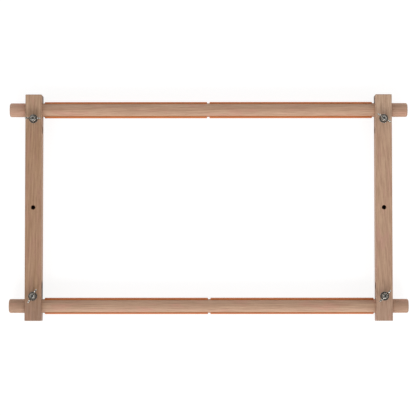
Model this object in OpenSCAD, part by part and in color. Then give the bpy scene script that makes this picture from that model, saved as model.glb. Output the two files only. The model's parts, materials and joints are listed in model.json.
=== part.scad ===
// Rotating tapestry frame: two round bars turn in two slotted side arms.
// Each bar carries two long fabric clips, and a bolt and wing nut beside
// each bar closes the arm's slit to lock it. The frame lies on its back.
// +X runs along the bars, +Y up the arms and +Z out of the front.
// The floor under the four bolt heads is z = 0.

/* [Arms] */
// Length of each side arm
arm_len = 305; // [260:1:420]
// Width of an arm, seen from the front
arm_w = 22; // [18:0.5:30]
// Depth of an arm, from back to front
arm_d = 28; // [24:0.5:34]
// Clear width between the two arms
inner_w = 450; // [240:1:700]
// Width of the eased edges of an arm
arm_ease = 0.5; // [0.3:0.1:1.5]

/* [Bars] */
// Diameter of the round bars
bar_d = 18.8; // [16:0.1:20]
// Distance from an arm's end to the bar's axis
bar_inset = 20; // [14:0.5:30]
// Length of a bar that stands out past each arm
bar_overhang = 22; // [10:0.5:40]
// Radius of the rounded edge at each bar end
bar_round = 2.4; // [0.5:0.1:3]

/* [Clamp slits] */
// Thickness of the saw cut that lets the arm close on the bar
slit_t = 2; // [1:0.1:3]
// Distance from the bar's axis to the relief hole at the slit's end
relief_offset = 27; // [23:0.5:36]
// Diameter of the relief hole
relief_d = 10; // [5:0.5:12]

/* [Stand holes] */
// Diameter of the stand hole in the front of each arm, at its middle
stand_hole_d = 6; // [4:0.1:8]
// Depth of the stand hole, down to the drill's point
stand_hole_depth = 20; // [12:0.5:24]
// Width of the bevel round the hole's mouth
stand_hole_bevel = 0.4; // [0.2:0.1:1]

/* [Clips] */
// Wall thickness of a clip at its back
clip_wall = 1.6; // [1:0.05:2.5]
// Opening of the clip, as an angle between its lips
clip_mouth = 121; // [90:1:140]
// Radius of the outer curve that thins the wall towards each lip
clip_taper_r = 7.6; // [7.4:0.1:8.2]
// Distance from the bar's axis to the middle of that curve
clip_taper_offset = 3.5; // [3:0.1:4]
// Angle from the middle of the mouth to the middle of that curve
clip_taper_angle = 100; // [95:1:110]
// How far the clips have turned on their bars, towards -Y
clip_turn = 5; // [-180:1:180]
// Gap between a clip and the arm beside it
clip_end_gap = 3.6; // [1:0.1:12]
// Gap between the two clips on a bar
clip_gap = 3.4; // [1:0.1:12]
// How far the top pair of clips sits to the right of the middle
top_clip_shift = -0.4; // [-0.8:0.1:0.8]
// How far the bottom pair of clips sits to the right of the middle
bottom_clip_shift = 0.7; // [-0.8:0.1:0.8]

/* [Bolts] */
// Diameter of the bolt
bolt_d = 5; // [4:0.5:6]
// Length of the bolt under its head
bolt_len = 38; // [36:1:48]
// Distance from the bar's axis to the bolt, towards the middle of the arm
bolt_offset = 13; // [12.5:0.1:15]
// Diameter of the domed head
head_d = 13; // [11:0.5:16]
// Height of the domed head
head_h = 3.2; // [2.5:0.1:4]
// Height of the head's straight rim
head_rim = 0.6; // [0.3:0.1:1]
// Height of the square neck under the head
neck_h = 4; // [2.5:0.5:6]
// Length of the bolt that is threaded
thread_len = 20; // [12:1:30]
// Distance from one thread crest to the next
thread_pitch = 0.8; // [0.5:0.1:1.2]
// Depth of the thread
thread_depth = 0.45; // [0.2:0.05:0.6]
// Width of the bevel at the bolt's tip
tip_bevel = 0.6; // [0.3:0.05:1]

/* [Washers] */
// Outer diameter of a washer
washer_d = 12; // [10:0.5:16]
// Thickness of a washer
washer_t = 1.2; // [0.8:0.1:2]

/* [Wing nuts] */
// Span over both wings
wing_span = 22; // [18:0.5:28]
// Height of the nut over its wings
wing_h = 11.2; // [9:0.1:15]
// Radius of a wing's rounded end
wing_round = 2.8; // [2:0.1:3.5]
// Thickness of a wing at its end
wing_tip_t = 2.4; // [1.2:0.1:3]
// Thickness of a wing where it leaves the hub
wing_root_t = 3.2; // [2:0.1:4]
// Height of the middle of a wing's root above the nut's base
wing_root_h = 2.7; // [2:0.1:4]
// Radius of a wing's root, seen from the side
wing_root_r = 1.5; // [1:0.1:2]
// Least wall between a wing's root and the nut's bore
wing_root_wall = 0.15; // [0.1:0.05:0.4]
// Bevel round the rim of a wing
wing_bevel = 0.4; // [0.2:0.05:0.5]
// Height of the hub
hub_h = 6; // [4:0.5:9]
// Diameter of the hub at its base
hub_base_d = 9.2; // [8:0.1:12]
// Diameter of the hub at its top
hub_top_d = 7.4; // [6.5:0.1:10]
// Bevel on the edges of the hub
hub_bevel = 0.4; // [0.2:0.05:0.6]
// Angle at which the top left nut has stopped
top_left_turn = -2; // [-180:1:180]
// Angle at which the bottom left nut has stopped
bottom_left_turn = 59; // [-180:1:180]
// Angle at which the top right nut has stopped
top_right_turn = -33; // [-180:1:180]
// Angle at which the bottom right nut has stopped
bottom_right_turn = 46; // [-180:1:180]

/* [Fits] */
// Gap all round between a bar and its hole in the arm
bar_fit = 0.05; // [0.02:0.01:0.1]
// Gap all round between a clip and its bar
clip_fit = 0.05; // [0.02:0.01:0.1]
// Gap all round between a bolt and its hole in the arm
bolt_fit = 0.1; // [0.05:0.05:0.2]
// Gap on each side of the square neck in the wood
neck_fit = 0.05; // [0.02:0.01:0.1]
// Gap all round between a bolt and its washer
washer_fit = 0.08; // [0.02:0.01:0.1]
// Gap all round between a bolt's thread crests and its nut
nut_fit = 0.05; // [0.02:0.01:0.1]

/* [Hidden] */
$fn = 96;
left = -1;
right = 1;
top = 1;
bottom = -1;
past = 1; // how far a cut runs past the surface it opens
drill_point_slope = 31; // slope of a twist drill's point

beech = "#B6907A";
beech_turned = "#C39F87";
amber_plastic = "#B9683A";
zinc = "#9C9B98";

back_z = head_h;
front_z = back_z + arm_d;
bar_z = back_z + arm_d / 2;
washer_top_z = front_z + washer_t;
arm_x = inner_w / 2 + arm_w / 2;
bar_y = arm_len / 2 - bar_inset;
bolt_y = bar_y - bolt_offset;
relief_y = bar_y - relief_offset;
bar_len = inner_w + 2 * arm_w + 2 * bar_overhang;
bar_r = bar_d / 2;
clip_inner_r = bar_r + clip_fit;
clip_outer_r = clip_inner_r + clip_wall;
clip_len = (inner_w - 2 * clip_end_gap - clip_gap) / 2;
bolt_r = bolt_d / 2;

// Outline of a rectangle whose corners are cut off at 45 degrees
module eased_rectangle(w, h, ease) {
  polygon([
    [-w / 2 + ease, -h / 2], [w / 2 - ease, -h / 2], [w / 2, -h / 2 + ease], [w / 2, h / 2 - ease],
    [w / 2 - ease, h / 2], [-w / 2 + ease, h / 2], [-w / 2, h / 2 - ease], [-w / 2, -h / 2 + ease],
  ]);
}

// Square stick along Y with all twelve edges eased
module eased_stick(w, l, d, ease) {
  intersection() {
    linear_extrude(d, center = true) eased_rectangle(w, l, ease);
    rotate([90, 0, 0]) linear_extrude(l, center = true) eased_rectangle(w, d, ease);
    rotate([90, 0, 90]) linear_extrude(w, center = true) eased_rectangle(l, d, ease);
  }
}

// Everything cut out of an arm at one end: bar hole, slit, relief hole and bolt hole
module clamp_cuts(end) {
  across = arm_w + 2 * past;
  translate([0, end * bar_y, bar_z]) rotate([0, 90, 0]) {
    cylinder(h = across, r = bar_r + bar_fit, center = true);
  }
  translate([0, end * relief_y, bar_z]) rotate([0, 90, 0]) {
    cylinder(h = across, d = relief_d, center = true);
  }
  translate([0, end * (bar_y - relief_offset / 2), bar_z]) {
    cube([across, relief_offset, slit_t], center = true);
  }
  translate([0, end * bolt_y, back_z - past]) {
    cylinder(h = arm_d + 2 * past, r = bolt_r + bolt_fit);
  }
  neck_w = bolt_d + 2 * neck_fit;
  translate([-neck_w / 2, end * bolt_y - neck_w / 2, back_z - past]) {
    cube([neck_w, neck_w, neck_h + neck_fit + past]);
  }
}

// Drilled hole for a stand's peg, with the drill's point below and a bevel at its mouth
module stand_hole_cut() {
  r = stand_hole_d / 2;
  b = stand_hole_bevel;
  floor_z = front_z - stand_hole_depth;
  point_h = r * tan(drill_point_slope);
  translate([0, 0, floor_z]) cylinder(h = stand_hole_depth + past, r = r);
  translate([0, 0, floor_z - point_h]) cylinder(h = point_h, r1 = 0, r2 = r);
  translate([0, 0, front_z - b]) cylinder(h = b + past, r1 = r, r2 = r + b + past);
}

// Side arm of solid beech
module arm(side) {
  color(beech) translate([side * arm_x, 0, 0]) {
    difference() {
      translate([0, 0, bar_z]) eased_stick(arm_w, arm_len, arm_d, arm_ease);
      clamp_cuts(top);
      clamp_cuts(bottom);
      stand_hole_cut();
    }
  }
}

// Half outline of a round bar, from its axis outwards, with rounded end edges
module bar_outline() {
  flat_r = bar_r - bar_round;
  straight = bar_len - 2 * bar_round;
  translate([0, -bar_len / 2]) square([flat_r, bar_len]);
  translate([0, -straight / 2]) square([bar_r, straight]);
  for (end = [top, bottom]) {
    translate([flat_r, end * straight / 2]) circle(r = bar_round, $fn = 32);
  }
}

// Turned bar that the fabric is wound on
module bar(end) {
  color(beech_turned) translate([0, end * bar_y, bar_z]) rotate([0, 90, 0]) {
    rotate_extrude() bar_outline();
  }
}

// Outline that the clip fills: round at its back, drawn in towards each lip
module clip_outline() {
  reach = 3 * clip_outer_r;
  a = clip_taper_angle;
  intersection() {
    circle(r = clip_outer_r);
    union() {
      for (side = [left, right]) {
        translate([side * clip_taper_offset * sin(a), clip_taper_offset * cos(a)]) circle(r = clip_taper_r);
      }
      polygon([
        [0, 0], [reach * sin(a), reach * cos(a)], [reach * sin(a), -reach],
        [-reach * sin(a), -reach], [-reach * sin(a), reach * cos(a)],
      ]);
    }
  }
}

// Section of a clip: open at the front, thick at the back and thin at its lips
module clip_section() {
  reach = 3 * clip_outer_r;
  half_mouth = clip_mouth / 2;
  difference() {
    clip_outline();
    circle(r = clip_inner_r);
    polygon([
      [0, 0], [reach * sin(half_mouth), reach * cos(half_mouth)],
      [-reach * sin(half_mouth), reach * cos(half_mouth)],
    ]);
  }
}

// Long spring clip that holds the fabric's edge to a bar
module clip(end, side) {
  shift = end == top ? top_clip_shift : bottom_clip_shift;
  middle = side * (clip_gap + clip_len) / 2 + shift;
  color(amber_plastic) translate([middle - clip_len / 2, end * bar_y, bar_z]) {
    rotate([90, 0, 90]) linear_extrude(clip_len) rotate(clip_turn) clip_section();
  }
}

// Domed head, drawn with its seat at z = 0 and its dome downwards
module bolt_head() {
  dome_h = head_h - head_rim;
  dome_r = (head_d * head_d / 4 + dome_h * dome_h) / (2 * dome_h);
  rotate_extrude() {
    translate([0, -head_rim]) square([head_d / 2, head_rim]);
    intersection() {
      translate([0, dome_r - head_h]) circle(r = dome_r);
      translate([0, -head_h]) square([head_d / 2, dome_h]);
    }
  }
}

// Half outline of the shank, with its thread drawn as rings up to a bevelled tip
module shank_outline() {
  rings = floor((thread_len - tip_bevel) / thread_pitch);
  start = bolt_len - tip_bevel - rings * thread_pitch;
  root_r = bolt_r - thread_depth;
  polygon(concat(
    [[0, 0], [bolt_r, 0], [bolt_r, start]],
    [for (i = [0:rings - 1], step = [0.5, 1])
      [step == 1 ? bolt_r : root_r, start + (i + step) * thread_pitch]],
    [[bolt_r - tip_bevel, bolt_len], [0, bolt_len]]
  ));
}

// Coach bolt, pushed through the arm from the back
module bolt(end, side) {
  color(zinc) translate([side * arm_x, end * bolt_y, back_z]) {
    bolt_head();
    translate([-bolt_r, -bolt_r, 0]) cube([bolt_d, bolt_d, neck_h]);
    rotate_extrude() shank_outline();
  }
}

// Flat washer on the arm's front
module washer(end, side) {
  color(zinc) translate([side * arm_x, end * bolt_y, front_z]) {
    difference() {
      cylinder(h = washer_t, d = washer_d);
      translate([0, 0, -past]) cylinder(h = washer_t + 2 * past, r = bolt_r + washer_fit);
    }
  }
}

// Hub of a wing nut, with its bore
module nut_hub() {
  bore_r = bolt_r + nut_fit;
  base_r = hub_base_d / 2;
  top_r = hub_top_d / 2;
  rotate_extrude() polygon([
    [bore_r, 0], [base_r - hub_bevel, 0], [base_r, hub_bevel], [base_r, 2 * hub_bevel],
    [top_r, hub_h - hub_bevel], [top_r - hub_bevel, hub_h], [bore_r, hub_h],
  ]);
}

// Disc on edge, in the XZ plane, with a bevelled rim
module edge_disc(r, t) {
  rotate([90, 0, 0]) {
    cylinder(h = t - 2 * wing_bevel, r = r, center = true, $fn = 32);
    cylinder(h = t, r = r - wing_bevel, center = true, $fn = 32);
  }
}

// One wing, leaving the hub towards +X and rising to its round end
module wing() {
  hull() {
    translate([bolt_r + nut_fit + wing_root_wall + wing_root_r, 0, wing_root_h]) {
      edge_disc(wing_root_r, wing_root_t);
    }
    translate([wing_span / 2 - wing_round, 0, wing_h - wing_round]) {
      edge_disc(wing_round, wing_tip_t);
    }
  }
}

// Wing nut, seated on its washer at the angle where it has stopped
module wing_nut(end, side, turn) {
  color(zinc) translate([side * arm_x, end * bolt_y, washer_top_z]) rotate([0, 0, turn]) {
    nut_hub();
    wing();
    mirror([1, 0, 0]) wing();
  }
}

arm(left);  // left_arm
arm(right);  // right_arm
bar(top);  // top_bar
bar(bottom);  // bottom_bar
clip(top, left);  // top_left_clip
clip(top, right);  // top_right_clip
clip(bottom, left);  // bottom_left_clip
clip(bottom, right);  // bottom_right_clip
bolt(top, left);  // top_left_bolt
bolt(top, right);  // top_right_bolt
bolt(bottom, left);  // bottom_left_bolt
bolt(bottom, right);  // bottom_right_bolt
washer(top, left);  // top_left_washer
washer(top, right);  // top_right_washer
washer(bottom, left);  // bottom_left_washer
washer(bottom, right);  // bottom_right_washer
wing_nut(top, left, top_left_turn);  // top_left_wing_nut
wing_nut(top, right, top_right_turn);  // top_right_wing_nut
wing_nut(bottom, left, bottom_left_turn);  // bottom_left_wing_nut
wing_nut(bottom, right, bottom_right_turn);  // bottom_right_wing_nut
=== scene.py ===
import json
import math

import bmesh
import bpy
import numpy as np
from mathutils import Matrix, Vector


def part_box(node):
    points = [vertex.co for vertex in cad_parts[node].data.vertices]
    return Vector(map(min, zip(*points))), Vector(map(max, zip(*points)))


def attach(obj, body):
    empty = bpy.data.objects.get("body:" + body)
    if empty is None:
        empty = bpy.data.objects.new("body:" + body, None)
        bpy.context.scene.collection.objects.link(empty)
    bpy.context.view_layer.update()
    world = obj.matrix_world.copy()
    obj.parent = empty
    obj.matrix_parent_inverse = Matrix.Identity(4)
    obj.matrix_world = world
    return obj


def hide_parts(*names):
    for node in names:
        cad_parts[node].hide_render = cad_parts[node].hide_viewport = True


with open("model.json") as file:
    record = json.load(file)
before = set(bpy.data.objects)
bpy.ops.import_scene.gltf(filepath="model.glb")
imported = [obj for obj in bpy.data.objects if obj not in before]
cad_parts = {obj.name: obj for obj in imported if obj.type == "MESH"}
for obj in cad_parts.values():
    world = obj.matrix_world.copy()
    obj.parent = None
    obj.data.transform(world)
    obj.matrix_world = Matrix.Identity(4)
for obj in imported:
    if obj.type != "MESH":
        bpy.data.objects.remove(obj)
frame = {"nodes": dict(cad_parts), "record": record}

mm = 0.001
turn = 2 * math.pi
quarter = math.pi / 2
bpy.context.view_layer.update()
cornerNames = ["top_left", "top_right", "bottom_left", "bottom_right"]
print("frame loaded:", len(frame["nodes"]), "nodes")


# colours and nodes

def linearColour(hexText):
    # sRGB hex to linear RGBA, each channel by the sRGB curve
    channels = np.array([int(hexText[i:i + 2], 16) / 255 for i in (1, 3, 5)])
    curve = np.where(channels <= 0.04045, channels / 12.92, ((channels + 0.055) / 1.055) ** 2.4)
    return (*curve.tolist(), 1.0)


def addNode(tree, kind, inputs=None, **settings):
    # one node with its settings, whose outputs come back; an input is a plain value or another
    # node's output socket
    node = tree.nodes.new("ShaderNode" + kind)
    for name, value in settings.items():
        setattr(node, name, value)
    for name, value in (inputs or {}).items():
        if isinstance(value, bpy.types.NodeSocket):
            tree.links.new(value, node.inputs[name])
        else:
            node.inputs[name].default_value = value
    return node.outputs


def newMaterial(name):
    material = bpy.data.materials.new(name)
    material.use_nodes = True
    material.node_tree.nodes.clear()
    return material, material.node_tree


def blendTones(tree, look, pattern):
    # the look's first tone where the pattern is low, its second where it is high
    share = addNode(tree, "MapRange", {
        "Value": pattern, "From Min": look["toneSteps"][0], "From Max": look["toneSteps"][1]},
        interpolation_type="SMOOTHSTEP")[0]
    first, second = [linearColour(tone) for tone in look["tones"]]
    return addNode(tree, "Mix", {0: share, 6: first, 7: second}, data_type="RGBA")[2]


def finishMaterial(tree, look, colour, roughPattern, relief):
    # roughness = the look's own + its spread * (rough pattern - 1/2), and the relief pattern is
    # the height of the bump
    least = look["roughness"] - look["roughSpread"] / 2
    rough = addNode(tree, "Math", {
        0: roughPattern, 1: look["roughSpread"], 2: least}, operation="MULTIPLY_ADD")[0]
    bump = addNode(tree, "Bump", {
        "Strength": look["bump"], "Distance": look["bumpHeight"] * mm, "Height": relief})[0]
    shader = addNode(tree, "BsdfPrincipled", {
        "Base Color": colour, "Roughness": rough, "Normal": bump, **look["shader"]})[0]
    addNode(tree, "OutputMaterial", {"Surface": shader})


# Steamed beech, sanded and left bare: a matt pinkish brown with faint growth rings, fine fibre
# streaks along the stick, pinker patches, and the short dark ray flecks that mark beech. The
# ends blend to colours of their own; painted shade darkens the arms' edges and cuts, the arms
# beside the bars, and a ring on each bar at the arms' faces
beechLook = {
    "noises": {             # mm along the stick, mm across it, detail, number
        "bands": (150.0, 7.0, 2.0, 3.0),
        "fibres": (26.0, 0.9, 3.0, 11.0),
        "patches": (32.0, 11.0, 2.0, 17.0),
        "flecks": (3.0, 0.6, 1.0, 23.0),    # a little coarse, so that they show
        "mottle": (5.0, 5.0, 3.0, 31.0),
    },
    "noiseRoughness": 0.6,
    "apart": (1.0, 2.7, 5.1),   # how far a noise's number moves it, so that no two are alike
    "shows": {              # value from which it shows, value where it is full, share when full
        "bands": (0.34, 0.66, 1.0),
        "patches": (0.5, 0.68, 0.75),
        "fibres": (0.42, 0.72, 0.65),
        "ringRise": (0.35, 0.9, 0.32),      # of the spacing between two rings
        "ringFall": (0.93, 1.0, 0.32),
        "flecks": (0.6, 0.74, 0.35),
        "mottle": (0.48, 0.75, 0.4),
        "endGrain": (0.2, 0.85, 0.8),
    },
    "ringSpacing": 2.1,     # mm between growth rings
    "ringWander": 6.0,      # mm that the rings stray from round
    "endWander": 14.0,      # mm that the ends' own colours stray along the stick
    "edgeWidth": 1.4,       # mm of a square stick's edge darkened by painted shade
    "edgeFull": 0.2,        # mm from the edge where it is darkest
    "edgeShare": 0.38,
    "contactShadeWidth": 1.3,        # mm of a bar on each side of an arm's face that painted contact shade darkens
    "contactShadeOffset": 0.3,       # mm that these rings lie further out than the arm's faces
    "contactShadeShare": 0.65,
    "roughness": 0.62,
    "roughSpread": 0.16,
    "bump": 0.3,
    "bumpHeight": 0.12,     # mm
    "fleckHeight": 0.4,     # share of it that the flecks take
    "shader": {"IOR": 1.5, "Specular IOR Level": 0.35},
}

# each stick: lean turns its length to the pattern's X axis, and heart is where its middle lies in
# the tree, in mm: along it, across to its middle and out from its middle; the two ends blend to
# a colour of their own over the last part of the stick
sticks = {
    "left_arm": {
        "name": "planedBeechLeft", "lean": (0.012, 0, -quarter + 0.01), "heart": (40, 31, 42),
        "light": "#B28F74", "dark": "#A98669", "pink": "#B08873", "grainAndEdgeShade": "#86634A",
        "ends": ("#9D7E6B", "#BA9A80"), "reach": (45, 60),
    },
    "right_arm": {
        "name": "planedBeechRight", "lean": (0.03, 0.07, -quarter - 0.03), "heart": (510, -26, 55),
        "light": "#BF9E83", "dark": "#B5927A", "pink": "#BB917F", "grainAndEdgeShade": "#93705A",
        "ends": ("#B4947F", "#C3A58C"), "reach": (45, 60),
    },
    "top_bar": {
        "name": "turnedBeechTop", "lean": (0, 0.012, 0.004), "heart": (1130, 22, 37),
        "light": "#C09C82", "dark": "#B49178", "pink": "#BE8E7A", "grainAndEdgeShade": "#96735A",
        "ends": ("#BA957F", "#B5917A"), "reach": (30, 46),
    },
    "bottom_bar": {
        "name": "turnedBeechBottom", "lean": (0, -0.01, 0.006), "heart": (1700, -35, 28),
        "light": "#C09D83", "dark": "#B5927A", "pink": "#BF907C", "grainAndEdgeShade": "#97755C",
        "ends": ("#AA8872", "#AE8C76"), "reach": (38, 40),
    },
}

# what is drilled and sawn across each arm, in mm: the relief hole and the slit from it to the bar
cuts = {
    "nodes": ("left_arm", "right_arm"),
    # colour of the painted shade in the cuts
    "colour": "#3B281D",
    "paintedCutShade": 0.8,          # how dark the painted shade in the cuts is
    "barInset": 20.0,       # from the arm's end to the bar's middle
    "reliefOffset": 27.0,   # from the bar's middle to the relief hole's
    "relief": (5.4, 5.05),  # from that hole's middle, where the scorch begins and where it is full
    "slit": (1.3, 1.05),    # the same from the slit's middle
}


def cutShade(tree, place, half):
    # painted shade in the cuts, in the arm's side view, and the same at both of its ends: full
    # inside the relief hole's circle or the slit's strip, and 0 a little way outside
    y, z = [addNode(tree, "Math", {0: place[k]}, operation="ABSOLUTE")[0] for k in (1, 2)]
    reliefPlace = half.y - cuts["barInset"] - cuts["reliefOffset"]
    away = addNode(tree, "Math", {0: y, 1: reliefPlace}, operation="SUBTRACT")[0]
    flat = addNode(tree, "CombineXYZ", {"X": away, "Y": z})[0]
    distance = addNode(tree, "VectorMath", {0: flat}, operation="LENGTH")["Value"]
    hole, level = [addNode(tree, "MapRange", {
        "Value": value, "From Min": cuts[cut][0], "From Max": cuts[cut][1]},
        interpolation_type="SMOOTHSTEP")[0] for value, cut in ((distance, "relief"), (z, "slit"))]
    halfWay = cuts["reliefOffset"] / 2
    between = addNode(tree, "Math", {0: away, 1: halfWay, 2: halfWay}, operation="COMPARE")[0]
    slit = addNode(tree, "Math", {0: level, 1: between}, operation="MULTIPLY")[0]
    cut = addNode(tree, "Math", {0: hole, 1: slit}, operation="MAXIMUM")[0]
    return addNode(tree, "Math", {0: cut, 1: cuts["paintedCutShade"]}, operation="MULTIPLY")[0]


def edgeShade(tree, place, half):
    # painted shade on the edges: full along the long edges and the end edges of a square stick's
    # front and back, 0 further in: near the front or back face times near a side or an end
    near = []
    for axis in range(3):
        away = addNode(tree, "Math", {0: place[axis]}, operation="ABSOLUTE")[0]
        near.append(addNode(tree, "MapRange", {
            "Value": away, "From Min": half[axis] - beechLook["edgeWidth"],
            "From Max": half[axis] - beechLook["edgeFull"]}, interpolation_type="SMOOTHSTEP")[0])
    outer = addNode(tree, "Math", {0: near[0], 1: near[1]}, operation="MAXIMUM")[0]
    edge = addNode(tree, "Math", {0: near[2], 1: outer}, operation="MULTIPLY")[0]
    return addNode(tree, "Math", {0: edge, 1: beechLook["edgeShare"]}, operation="MULTIPLY")[0]


# painted shadows of the bars on the arms' inner sides beside them, in mm
barShadows = {
    # colour of the painted shadows, and of the painted contact shade rings on the bars
    "colour": "#4A2F1E",
    "side": (10.65, 10.98), # from the arm's middle to where it begins and to where it is full
    "height": (9.8, 1.8),   # the same up from the arm's middle
    "soft": 5.0,            # over which its two ends fade
    "ragged": 8.0,          # how far they stray
    "places": (             # node, side, from and to along the arm, how dark
        ("left_arm", 1, -124.0, -97.0, 0.95),
        ("left_arm", 1, 137.0, 160.0, 0.85),
        ("right_arm", -1, 137.0, 160.0, 0.85),
    ),
}


def barShadowShare(tree, place, mottle, side, start, stop, share):
    # painted shadow of a bar: the share on one side of the arm between two places along it, with
    # ragged soft ends, and 0 elsewhere: the share times one smooth step outwards, one down and one
    # in from each end
    across = addNode(tree, "Math", {0: place[0], 1: side}, operation="MULTIPLY")[0]
    along = addNode(tree, "Math", {
        0: mottle, 1: barShadows["ragged"], 2: place[1]}, operation="MULTIPLY_ADD")[0]
    along = addNode(tree, "Math", {0: along, 1: barShadows["ragged"] / 2}, operation="SUBTRACT")[0]
    steps = (
        (across, *barShadows["side"]),
        (place[2], *barShadows["height"]),
        (along, start, start + barShadows["soft"]),
        (along, stop, stop - barShadows["soft"]),
    )
    for value, first, full in steps:
        step = addNode(tree, "MapRange", {
            "Value": value, "From Min": first, "From Max": full},
            interpolation_type="SMOOTHSTEP")[0]
        share = addNode(tree, "Math", {0: share, 1: step}, operation="MULTIPLY")[0]
    return share


def barContactShade(tree, place):
    # painted contact shade: a dark ring on a bar at each face of both arms, 0 away from them: the
    # distance along the bar from the frame's middle, then from an arm's middle, then from its face
    low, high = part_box("right_arm")
    armPlace, armHalf = (low.x + high.x) / 2 / mm, (high.x - low.x) / 2 / mm
    away = addNode(tree, "Math", {0: place[0]}, operation="ABSOLUTE")[0]
    for step in (armPlace + beechLook["contactShadeOffset"], armHalf):
        away = addNode(tree, "Math", {0: away, 1: step}, operation="SUBTRACT")[0]
        away = addNode(tree, "Math", {0: away}, operation="ABSOLUTE")[0]
    return addNode(tree, "MapRange", {
        "Value": away, "From Min": beechLook["contactShadeWidth"], "From Max": 0.0,
        "To Max": beechLook["contactShadeShare"]}, interpolation_type="SMOOTHSTEP")[0]


def beech(node):
    look, stick = beechLook, sticks[node]
    material, tree = newMaterial(stick["name"])
    tones = ("light", "dark", "pink", "grainAndEdgeShade")
    light, dark, pink, grainAndEdgeShade = [linearColour(stick[tone]) for tone in tones]
    low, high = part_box(node)
    middle, half = (low + high) / 2 / mm, (high - low) / 2 / mm
    # own: mm from the stick's middle; grain: mm in the tree that it was cut from
    source = addNode(tree, "TexCoord")
    own = addNode(tree, "Mapping", {
        "Vector": source["Object"], "Location": -middle, "Scale": (1 / mm,) * 3})[0]
    place = addNode(tree, "SeparateXYZ", {"Vector": own})
    grain = addNode(tree, "Mapping", {
        "Vector": own, "Location": stick["heart"], "Rotation": stick["lean"]})[0]
    inTree = addNode(tree, "SeparateXYZ", {"Vector": grain})

    patterns = {}
    for name, (length, width, detail, number) in look["noises"].items():
        stretched = addNode(tree, "Mapping", {
            "Vector": grain, "Location": [number * step for step in look["apart"]],
            "Scale": (1 / length, 1 / width, 1 / width)})[0]
        patterns[name] = addNode(tree, "TexNoise", {
            "Vector": stretched, "Scale": 1.0, "Detail": detail,
            "Roughness": look["noiseRoughness"]})["Fac"]
    # rings: the distance from the tree's heart, with some wander, cut into spacings; each ring
    # darkens slowly and ends sharply
    flat = addNode(tree, "CombineXYZ", {"Y": inTree[1], "Z": inTree[2]})[0]
    distance = addNode(tree, "VectorMath", {0: flat}, operation="LENGTH")["Value"]
    strayed = addNode(tree, "Math", {
        0: patterns["bands"], 1: look["ringWander"], 2: distance}, operation="MULTIPLY_ADD")[0]
    spaced = addNode(tree, "Math", {0: strayed, 1: look["ringSpacing"]}, operation="DIVIDE")[0]
    phase = addNode(tree, "Math", {0: spaced}, operation="FRACT")[0]
    patterns["ringRise"] = patterns["ringFall"] = phase
    # sawn and rounded ends show end grain, which is darker: how far the surface faces along the
    # stick
    turned = addNode(tree, "Mapping", {
        "Vector": source["Normal"], "Rotation": stick["lean"]}, vector_type="NORMAL")[0]
    lengthwise = addNode(tree, "SeparateXYZ", {"Vector": turned})[0]
    patterns["endGrain"] = addNode(tree, "Math", {0: lengthwise}, operation="ABSOLUTE")[0]
    shares = {}
    for name, (first, full, share) in look["shows"].items():
        shares[name] = addNode(tree, "MapRange", {
            "Value": patterns[name], "From Min": first, "From Max": full, "To Max": share},
            interpolation_type="SMOOTHSTEP")[0]
    lateWood = addNode(tree, "Math", {
        0: shares["ringRise"], 1: shares["ringFall"]}, operation="SUBTRACT")[0]

    # layers of colour, each laid over the ones before it by its share
    layers = [(shares["bands"], dark)]
    along = addNode(tree, "Math", {0: inTree[0], 1: stick["heart"][0]}, operation="SUBTRACT")[0]
    for side, end, reach in zip((-1, 1), stick["ends"], stick["reach"]):
        outwards = addNode(tree, "Math", {0: along, 1: side}, operation="MULTIPLY")[0]
        strayed = addNode(tree, "Math", {
            0: patterns["mottle"], 1: look["endWander"], 2: outwards}, operation="MULTIPLY_ADD")[0]
        share = addNode(tree, "MapRange", {
            "Value": strayed, "From Min": max(half) - reach, "From Max": max(half)},
            interpolation_type="SMOOTHSTEP")[0]
        layers.append((share, linearColour(end)))
    layers += [
        (shares["patches"], pink),
        (shares["fibres"], grainAndEdgeShade),
        (lateWood, grainAndEdgeShade),
        (shares["flecks"], grainAndEdgeShade),
        (shares["mottle"], dark),
        (shares["endGrain"], grainAndEdgeShade),
    ]
    paintedShadeColour = linearColour(barShadows["colour"])
    if node in cuts["nodes"]:
        # painted shade along the arm's edges, in the growth rings' colour
        layers.append((edgeShade(tree, place, half), grainAndEdgeShade))
        # painted shadows of the bars on the arm's inner sides
        for arm, *spot in barShadows["places"]:
            if arm == node:
                layers.append((barShadowShare(tree, place, patterns["mottle"], *spot), paintedShadeColour))
        # painted shade in the relief hole and the slit
        layers.append((cutShade(tree, place, half), linearColour(cuts["colour"])))
    else:
        # painted contact shade: a dark ring on the bar at each face of the arms
        layers.append((barContactShade(tree, place), paintedShadeColour))
    colour = light
    for share, laid in layers:
        colour = addNode(tree, "Mix", {0: share, 6: colour, 7: laid}, data_type="RGBA")[2]
    relief = addNode(tree, "Math", {
        0: patterns["flecks"], 1: look["fleckHeight"], 2: patterns["fibres"]},
        operation="MULTIPLY_ADD")[0]
    finishMaterial(tree, look, colour, patterns["fibres"], relief)
    return material


# Extruded plastic, coloured through and satin: faint die lines run along it
clipLook = {
    "tones": ("#BA6A31", "#A75923"),
    "toneSteps": (0.35, 0.7),
    "dieLineLength": 150.0, # mm along a die line
    "dieLineWidth": 0.5,    # mm across a die line
    "dieLineDetail": 3.0,
    "roughness": 0.46,
    "roughSpread": 0.12,
    "bump": 0.2,
    "bumpHeight": 0.05,     # mm
    "shader": {"IOR": 1.5, "Specular IOR Level": 0.3},
}


def extrudedPlastic():
    look = clipLook
    material, tree = newMaterial("extrudedOrangeBrownPlastic")
    place = addNode(tree, "TexCoord")["Object"]
    along, across = 1 / (look["dieLineLength"] * mm), 1 / (look["dieLineWidth"] * mm)
    stretched = addNode(tree, "Mapping", {"Vector": place, "Scale": (along, across, across)})[0]
    lines = addNode(tree, "TexNoise", {
        "Vector": stretched, "Scale": 1.0, "Detail": look["dieLineDetail"]})["Fac"]
    finishMaterial(tree, look, blendTones(tree, look, lines), lines, lines)
    return material


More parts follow.
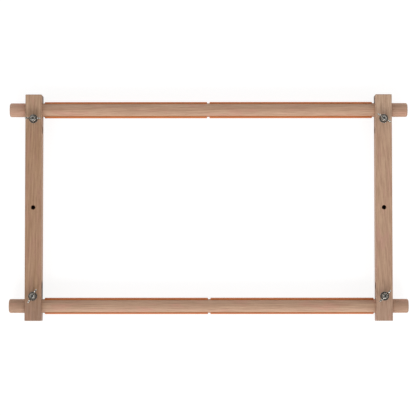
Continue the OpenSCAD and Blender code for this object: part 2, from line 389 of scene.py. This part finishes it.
# Steel, zinc plated and tumbled: a grey metal with a soft uneven shine
zincLook = {
    "tones": ("#BDBAB4", "#736F68"),
    "toneSteps": (0.35, 0.7),
    "patch": 2.2,           # mm across a patch of the plating
    "grit": 0.5,            # mm between tumbling marks
    "detail": 2.0,
    "roughness": 0.17,
    "roughSpread": 0.2,
    "bump": 0.25,
    "bumpHeight": 0.04,     # mm
    "shader": {"Metallic": 1.0},
}


def zincPlated():
    look = zincLook
    material, tree = newMaterial("zincPlatedSteel")
    place = addNode(tree, "TexCoord")["Object"]
    patches, grit = [addNode(tree, "TexNoise", {
        "Vector": place, "Scale": 1 / (look[size] * mm), "Detail": look["detail"]})["Fac"]
        for size in ("patch", "grit")]
    finishMaterial(tree, look, blendTones(tree, look, patches), patches, grit)
    return material


wood = {node: beech(node) for node in sticks}
clipPlastic = extrudedPlastic()
zinc = zincPlated()
print("materials made")


# meshes

sharpAngle = math.radians(35)   # an edge that turns by more stays sharp


def gridFaces(rows, columns, wrapRows=False):
    # one quad for each cell of a grid of points; each row closes on itself, and the last row
    # joins the first where the rows wrap
    index = np.arange(rows * columns).reshape(rows, columns)
    index = np.hstack([index, index[:, :1]])
    if wrapRows:
        index = np.vstack([index, index[:1]])
    quads = [index[:-1, :-1], index[:-1, 1:], index[1:, 1:], index[1:, :-1]]
    return np.stack(quads, -1).reshape(-1, 4)


def endFaces(rows, columns):
    # one face over the first row of points and one over the last
    return [np.arange(columns)[::-1], np.arange(columns) + (rows - 1) * columns]


def makePiece(name, shells):
    # closed shells in one mesh, each a grid of points, its quads and its end faces; faces point
    # outwards, and the surface is smooth but for edges over the sharp angle
    points, faces, start = [], [], 0
    for grid, quads, ends in shells:
        points.append(grid.reshape(-1, 3))
        faces += (quads + start).tolist() + [(end + start).tolist() for end in ends]
        start += len(points[-1])
    mesh = bpy.data.meshes.new(name)
    mesh.from_pydata(np.vstack(points), [], faces)
    outward = bmesh.new()
    outward.from_mesh(mesh)
    bmesh.ops.recalc_face_normals(outward, faces=outward.faces)
    outward.to_mesh(mesh)
    outward.free()
    mesh.shade_smooth()
    mesh.set_sharp_from_angle(angle=sharpAngle)
    piece = bpy.data.objects.new(name, mesh)
    bpy.context.scene.collection.objects.link(piece)
    return piece


def fit(piece, node, material):
    # the piece stands for the node, moves with its body and takes its finish
    piece.data.materials.append(material)
    bodies = frame["record"]["behaviour"]["bodies"]
    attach(piece, next(body for body in bodies if node in bodies[body]))
    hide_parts(node)


def arc(radius, start, end, count, centre):
    # points on a circle: centre + radius * (sin, cos) of an angle that runs from start to end
    angle = np.linspace(start, end, count)
    return np.stack([centre[0] + radius * np.sin(angle), centre[1] + radius * np.cos(angle)], -1)


def revolve(profile, segments):
    # each (radius, height) of the profile goes once round the Z axis
    angle = np.arange(segments) * turn / segments
    radius, height = profile[:, 0:1], profile[:, 1:2]
    rings = np.broadcast_arrays(radius * np.cos(angle), radius * np.sin(angle), height)
    return np.stack(rings, -1)


def upright(low, high, height):
    # the point at a height on the upright line through the middle of a box
    return np.array([(low.x + high.x) / 2, (low.y + high.y) / 2, height])


# side arms: the solids keep their shape

for name in cuts["nodes"]:
    solid = frame["nodes"][name]
    solid.data.materials.clear()
    solid.data.materials.append(wood[name])
print("arms dressed")


# bars

bar = {
    "endRound": 2.4 * mm,
    "segments": 128,
    "roundSteps": 8,
    "stretch": 60,          # rows along the straight part
}


def barSurface(low, high):
    # the profile runs from end to end: a rounded edge, the straight part and a rounded edge,
    # and turns about the bar's own axis along X
    radius = (high.z - low.z) / 2
    length = high.x - low.x
    r = bar["endRound"]
    near = arc(r, -quarter, 0, bar["roundSteps"], (r, radius - r))
    x = np.linspace(r, length - r, bar["stretch"])[1:-1]
    straight = np.column_stack([x, np.full_like(x, radius)])
    far = arc(r, 0, quarter, bar["roundSteps"], (length - r, radius - r))
    profile = np.vstack([near, straight, far])
    rings = revolve(profile[:, ::-1], bar["segments"])
    axis = np.array([low.x, (low.y + high.y) / 2, (low.z + high.z) / 2])
    return rings[..., [2, 0, 1]] + axis


for name in ("top_bar", "bottom_bar"):
    surface = barSurface(*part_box(name))
    size = surface.shape[:2]
    piece = makePiece(name + "_turned", [(surface, gridFaces(*size), endFaces(*size))])
    fit(piece, name, wood[name])
print("bars made")


# clips

clip = {
    "gap": 0.05 * mm,             # between the clip and its bar
    "wall": 1.6 * mm,             # at the back; it thins towards the lips
    "turned": math.radians(5),    # how far it has turned on its bar, towards -Y
    "mouth": math.radians(124.4), # opening between the places where the lips' edges start to round
    "taperRadius": 7.6 * mm,      # outer curve towards each lip
    "taperOffset": 3.5 * mm,      # its middle from the bar's axis
    "taperAngle": math.radians(100),
    "endRound": 0.3 * mm,         # rounding at the clip's two ends
    "endSteps": 4,
    "arcSteps": 96,
    "lipSteps": 6,
}


def clipSection(inner, thin):
    # closed section in (y, z): outer curve, lip, inner arc back, lip, where thin is the share of
    # the wall taken off each face; the outer curve is the nearer of the round back and the taper
    # circle, whose distance at an angle d from its middle is c cos d + sqrt(R^2 - c^2 sin^2 d)
    c, big = clip["taperOffset"], clip["taperRadius"]
    angle = np.linspace(clip["mouth"] / 2, turn - clip["mouth"] / 2, clip["arcSteps"])
    away = np.minimum(np.minimum(angle, turn - angle) - clip["taperAngle"], 0)
    drawn = c * np.cos(away) + np.sqrt(big ** 2 - (c * np.sin(away)) ** 2)
    wall = np.minimum(clip["wall"], drawn - inner)
    leant = angle - clip["turned"]
    ray = np.column_stack([np.sin(leant), np.cos(leant)])
    outside = ray * (inner + wall * (1 - thin))[:, None]
    inside = ray * (inner + wall * thin)[:, None]
    lips = []
    for row, start in ((-1, leant[-1]), (0, leant[0] + math.pi)):
        middle = (outside[row] + inside[row]) / 2
        half = np.linalg.norm(outside[row] - inside[row]) / 2
        lips.append(arc(half, start, start + math.pi, clip["lipSteps"] + 2, middle)[1:-1])
    return np.vstack([outside, lips[0], inside[::-1], lips[1]])


def clipSurface(clipBox, barBox):
    # the section runs along X on the bar's axis, and at each end it thins by a quarter round:
    # x steps in by 1 - sin while the wall thins by 1 - cos
    (low, high), (barLow, barHigh) = clipBox, barBox
    inner = (barHigh.z - barLow.z) / 2 + clip["gap"]
    steps = np.linspace(0, quarter, clip["endSteps"])
    ease = clip["endRound"] * (1 - np.sin(steps))
    thin = clip["endRound"] / clip["wall"] * (1 - np.cos(steps))
    x = np.concatenate([(low.x + ease)[::-1], high.x - ease])
    sections = np.array([clipSection(inner, share) for share in [*thin[::-1], *thin]])
    along = np.broadcast_to(x[:, None, None], (*sections.shape[:2], 1))
    axis = np.array([0, (barLow.y + barHigh.y) / 2, (barLow.z + barHigh.z) / 2])
    return np.concatenate([along, sections], -1) + axis


def clipEnds(rows, columns):
    # each end is a strip of quads from the outer arc to the inner one, and a face over each lip
    n, lip = clip["arcSteps"], clip["lipSteps"]
    outer, inner = np.arange(n), np.arange(2 * n + lip - 1, n + lip - 1, -1)
    strip = np.stack([outer[:-1], outer[1:], inner[1:], inner[:-1]], -1)
    lastLip = np.arange(n - 1, n + lip + 1)
    firstLip = np.append(np.arange(2 * n + lip - 1, 2 * n + 2 * lip), 0)
    far = (rows - 1) * columns
    return [*strip, lastLip, firstLip, *(strip + far), lastLip + far, firstLip + far]


for corner in cornerNames:
    surface = clipSurface(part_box(corner + "_clip"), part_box(corner.split("_")[0] + "_bar"))
    size = surface.shape[:2]
    piece = makePiece(corner + "_clip_extrusion", [(surface, gridFaces(*size), clipEnds(*size))])
    fit(piece, corner + "_clip", clipPlastic)
print("clips made")


# bolts

bolt = {
    "radius": 2.5 * mm,
    "headRadius": 6.5 * mm,
    "headRim": 0.6 * mm,
    "headHeight": 3.2 * mm,
    "headRound": 0.12 * mm,     # eased edge under the head
    "neckHeight": 4.0 * mm,
    "threadLength": 20.0 * mm,
    "pitch": 0.8 * mm,
    "threadDepth": 0.45 * mm,
    "runOut": 1.2 * mm,         # over which the thread deepens at its start
    "tipBevel": 0.6 * mm,
    "segments": 64,
    "domeSteps": 14,
    "pole": 0.03,               # radians from the dome's middle to its first ring
    "rowsPerPitch": 8,
}


def boltSurface(length):
    # one grid from the dome's pole, round the rim, up the square neck and the threaded shank to
    # the tip; down the thread the radius follows a triangle wave of height / pitch - angle / turn
    domeHeight = bolt["headHeight"] - bolt["headRim"]
    domeRadius = (bolt["headRadius"] ** 2 + domeHeight ** 2) / (2 * domeHeight)
    spread = math.asin(bolt["headRadius"] / domeRadius)
    dome = arc(domeRadius, math.pi - bolt["pole"], math.pi - spread, bolt["domeSteps"],
               (0, domeRadius - bolt["headHeight"]))
    ease = bolt["headRound"]
    rim = [[bolt["headRadius"], -ease], [bolt["headRadius"] - ease, 0.0]]
    head = revolve(np.vstack([dome, rim]), bolt["segments"])
    # square neck: radius = half side / the larger of |cos| and |sin|
    angle = np.arange(bolt["segments"]) * turn / bolt["segments"]
    across, along = np.cos(angle), np.sin(angle)
    square = bolt["radius"] / np.maximum(np.abs(across), np.abs(along))
    height = np.array([[0.0], [bolt["neckHeight"]]])
    neck = np.stack(np.broadcast_arrays(square * across, square * along, height), -1)
    start = length - bolt["threadLength"]
    count = int(round(bolt["threadLength"] / bolt["pitch"])) * bolt["rowsPerPitch"]
    thread = start + np.linspace(0, bolt["threadLength"], count + 1)
    height = np.append(bolt["neckHeight"], thread)[:, None]
    wave = np.abs(((height / bolt["pitch"] - angle / turn) % 1.0) * 2 - 1)
    fade = np.clip((height - start) / bolt["runOut"], 0, 1)
    tip = np.maximum(height - (length - bolt["tipBevel"]), 0)
    radius = np.minimum(bolt["radius"] - bolt["threadDepth"] * fade * wave, bolt["radius"] - tip)
    shank = np.stack(np.broadcast_arrays(radius * across, radius * along, height), -1)
    return np.vstack([head, neck, shank])


for corner in cornerNames:
    low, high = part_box(corner + "_bolt")
    seat = low.z + bolt["headHeight"]
    surface = boltSurface(high.z - seat) + upright(low, high, seat)
    size = surface.shape[:2]
    piece = makePiece(corner + "_coach_bolt", [(surface, gridFaces(*size), endFaces(*size))])
    fit(piece, corner + "_bolt", zinc)
print("bolts made")


# washers

washer = {"bore": 2.62 * mm, "edgeRound": 0.25 * mm, "segments": 72, "roundSteps": 5}


def washerSurface(outer, thickness):
    # a rounded rectangle in (radius, height), one quarter round at each corner, goes round the axis
    r = washer["edgeRound"]
    left, right, bottom, top = washer["bore"] + r, outer - r, r, thickness - r
    corners = ((right, top), (right, bottom), (left, bottom), (left, top))
    profile = np.vstack([
        arc(r, k * quarter, (k + 1) * quarter, washer["roundSteps"], middle)
        for k, middle in enumerate(corners)])
    return revolve(profile, washer["segments"])


for corner in cornerNames:
    low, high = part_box(corner + "_washer")
    surface = washerSurface((high.x - low.x) / 2, high.z - low.z) + upright(low, high, low.z)
    faces = gridFaces(*surface.shape[:2], wrapRows=True)
    piece = makePiece(corner + "_flat_washer", [(surface, faces, [])])
    fit(piece, corner + "_washer", zinc)
print("washers made")


# wing nuts

wingNut = {
    "bore": 2.66 * mm,
    "boreBevel": 0.25 * mm,
    "hubBase": 4.6 * mm,
    "hubTop": 3.7 * mm,
    "hubHeight": 6.0 * mm,
    "hubBevel": 0.5 * mm,
    "hubEase": 0.15 * mm,   # by which a bevel's middle is drawn in, so that it is round
    "hubDraft": 0.1 * mm,   # by which the top bevel leans
    "hubSegments": 64,
    "span": 22.0 * mm,
    "height": 11.2 * mm,
    "earRadius": 2.8 * mm,
    "earThickness": 2.4 * mm,
    "earSteps": 28,
    "rootRadius": 1.7 * mm,
    "rootThickness": 3.2 * mm,
    "rootPlace": (4.3 * mm, 2.7 * mm),
    "rootSteps": 20,
    "levels": 17,           # from one face of a wing to the other
    "widthPower": 0.35,     # lower is squarer at a wing's edge
    "liftPower": 0.6,       # lower is flatter over a wing's face
    "voxel": 0.2 * mm,
    "smoothing": 0.5,
    "smoothings": 4,
    # degrees that each nut has turned on its bolt
    "turns": {"top_left": -2, "bottom_left": 59, "top_right": -33, "bottom_right": 46},
}


def wingSurface(side):
    # a pillow: its outline is a belt round two circles, and from one face to the other the
    # half width goes as a low power of cos and the half thickness as a low power of sin
    n = wingNut
    root = np.array(n["rootPlace"])
    ear = np.array([n["span"] / 2 - n["earRadius"], n["height"] - n["earRadius"]])
    reach = ear - root
    length = np.linalg.norm(reach)
    lean = math.atan2(reach[1], reach[0])
    touch = math.acos((n["rootRadius"] - n["earRadius"]) / length)
    earArc = np.linspace(-touch, touch, n["earSteps"]) + lean
    rootArc = np.linspace(touch, turn - touch, n["rootSteps"]) + lean
    outline = np.vstack([
        ear + n["earRadius"] * np.column_stack([np.cos(earArc), np.sin(earArc)]),
        root + n["rootRadius"] * np.column_stack([np.cos(rootArc), np.sin(rootArc)])])
    middle = (root + ear) / 2
    level = np.linspace(-quarter, quarter, n["levels"])[1:-1, None]
    width = np.cos(level) ** n["widthPower"]
    lift = np.sign(np.sin(level)) * np.abs(np.sin(level)) ** n["liftPower"]
    x = middle[0] + (outline[:, 0] - middle[0]) * width
    z = middle[1] + (outline[:, 1] - middle[1]) * width
    share = np.clip(((x - root[0]) * reach[0] + (z - root[1]) * reach[1]) / length ** 2, 0, 1)
    half = (n["rootThickness"] + (n["earThickness"] - n["rootThickness"]) * share) / 2
    return np.stack([side * x, half * lift, z], -1)


def hubSurface():
    # the hub's outline, with eased edges and a plain bore, goes round the axis
    bore, base, top = wingNut["bore"], wingNut["hubBase"], wingNut["hubTop"]
    height, bevel, mouth = wingNut["hubHeight"], wingNut["hubBevel"], wingNut["boreBevel"]
    ease, draft = wingNut["hubEase"], wingNut["hubDraft"]
    profile = np.array([
        [bore + mouth, 0], [base - bevel, 0], [base - ease, ease], [base, bevel],
        [base, 2 * bevel], [top + draft, height - bevel], [top - ease, height - draft],
        [top - bevel, height], [bore + mouth, height], [bore, height - mouth], [bore, mouth]])
    return revolve(profile, wingNut["hubSegments"])


def forge(piece):
    # hub and wings become one skin of small cells, and smoothing leaves a forging's soft fillets
    skin = piece.modifiers.new("skin", "REMESH")
    skin.mode = "VOXEL"
    skin.voxel_size = wingNut["voxel"]
    soften = piece.modifiers.new("soften", "SMOOTH")
    soften.factor = wingNut["smoothing"]
    soften.iterations = wingNut["smoothings"]
    graph = bpy.context.evaluated_depsgraph_get()
    forged = bpy.data.meshes.new_from_object(piece.evaluated_get(graph))
    piece.modifiers.clear()
    piece.data = forged
    forged.shade_smooth()


for corner in cornerNames:
    low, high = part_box(corner + "_wing_nut")
    angle = math.radians(wingNut["turns"][corner])
    spin = np.array(Matrix.Rotation(angle, 3, "Z").transposed())
    centre = upright(low, high, low.z)
    hub = hubSurface() @ spin + centre
    shells = [(hub, gridFaces(*hub.shape[:2], wrapRows=True), [])]
    for side in (1, -1):
        wing = wingSurface(side) @ spin + centre
        shells.append((wing, gridFaces(*wing.shape[:2]), endFaces(*wing.shape[:2])))
    piece = makePiece(corner + "_forged_wing_nut", shells)
    forge(piece)
    fit(piece, corner + "_wing_nut", zinc)
print("wing nuts made")


# stage, light and camera

stage = {
    "floorSize": 60.0,      # metres
    "floorColour": "#F2F2F2",
    "floorSeen": 0.26,      # share of its shading, and so of the shadows, that the camera sees
    "floorGlow": 0.86,      # white that the camera sees instead
    "skyLow": 1.62,         # bright all round
    "skyHigh": 0.15,        # dim overhead
    "skySteps": (0.25, 0.95),   # sine of the height in the sky where it starts and stops dimming
    # the way to each lamp: two of them leave two faint shadows beside each nut
    "lamps": {"leftLamp": (-0.3, -0.8, 0.6), "rightLamp": (0.3, -0.8, 0.6)},
    "lampStrength": 0.74,
    "lampAngle": 15,        # degrees of the sky that a lamp fills
}


def makeFloor():
    # a wide white floor that lights the piece as white paper does; the camera and the metal see it
    # brighter, with its shadows fainter
    bpy.ops.mesh.primitive_plane_add(size=stage["floorSize"])
    floor = bpy.context.object
    floor.name = "floor"
    material, tree = newMaterial("whiteStudioFloor")
    path = addNode(tree, "LightPath")
    seen = path["Is Camera Ray"]
    for ray in ("Is Glossy Ray", "Is Transmission Ray"):
        seen = addNode(tree, "Math", {0: seen, 1: path[ray]}, operation="MAXIMUM")[0]
    white = linearColour(stage["floorColour"])
    faint = (*[channel * stage["floorSeen"] for channel in white[:3]], 1.0)
    colour = addNode(tree, "Mix", {0: seen, 6: white, 7: faint}, data_type="RGBA")[2]
    paint = addNode(tree, "BsdfDiffuse", {"Color": colour})[0]
    strength = addNode(tree, "Math", {0: seen, 1: stage["floorGlow"]}, operation="MULTIPLY")[0]
    glow = addNode(tree, "Emission", {"Strength": strength})[0]
    both = addNode(tree, "AddShader", {0: glow, 1: paint})[0]
    addNode(tree, "OutputMaterial", {"Surface": both})
    floor.data.materials.append(material)


def makeSky():
    # the sky's strength falls smoothly from all round to overhead
    world = bpy.data.worlds.new("studio")
    bpy.context.scene.world = world
    world.use_nodes = True
    tree = world.node_tree
    tree.nodes.clear()
    direction = addNode(tree, "TexCoord")["Generated"]
    up = addNode(tree, "SeparateXYZ", {"Vector": direction})[2]
    strength = addNode(tree, "MapRange", {
        "Value": up, "From Min": stage["skySteps"][0], "From Max": stage["skySteps"][1],
        "To Min": stage["skyLow"], "To Max": stage["skyHigh"]}, interpolation_type="SMOOTHSTEP")[0]
    background = addNode(tree, "Background", {"Color": (1, 1, 1, 1), "Strength": strength})[0]
    addNode(tree, "OutputWorld", {"Surface": background})


def addLamp(name, direction):
    # a soft distant lamp, as wide in the sky as its angle
    lamp = bpy.data.lights.new(name, "SUN")
    lamp.energy = stage["lampStrength"]
    lamp.angle = math.radians(stage["lampAngle"])
    holder = bpy.data.objects.new(name, lamp)
    holder.rotation_euler = Vector(direction).to_track_quat("Z", "Y").to_euler()
    bpy.context.scene.collection.objects.link(holder)


makeFloor()
makeSky()
for name, direction in stage["lamps"].items():
    addLamp(name, direction)

# camera: almost straight above and a little towards the bottom bar, from the picture's perspective
view = {
    "place": (9.3, -134.2, 2600.0),    # mm
    "target": (-0.84, -0.2, 15.0),     # mm
    "width": 416,                      # pixels
    "focal": 1913.2,                   # in the same pixels
    "roll": -0.0004,                   # radians
    "sensor": 36.0,                    # mm
    "farthest": 100.0,                 # metres
}
place, target = Vector(view["place"]) * mm, Vector(view["target"]) * mm
ahead = (target - place).normalized()
across = ahead.cross(Vector((0, 1, 0))).normalized()
facing = Matrix((across, across.cross(ahead), -ahead)).transposed().to_4x4()
lens = bpy.data.cameras.new("camera")
lens.sensor_width = view["sensor"]
lens.lens = view["focal"] / view["width"] * view["sensor"]
lens.clip_end = view["farthest"]
camera = bpy.data.objects.new("camera", lens)
camera.matrix_world = Matrix.Translation(place) @ facing @ Matrix.Rotation(view["roll"], 4, "Z")
bpy.context.scene.collection.objects.link(camera)
bpy.context.scene.camera = camera
bpy.context.scene.view_settings.view_transform = "Standard"
print("stage and camera made")
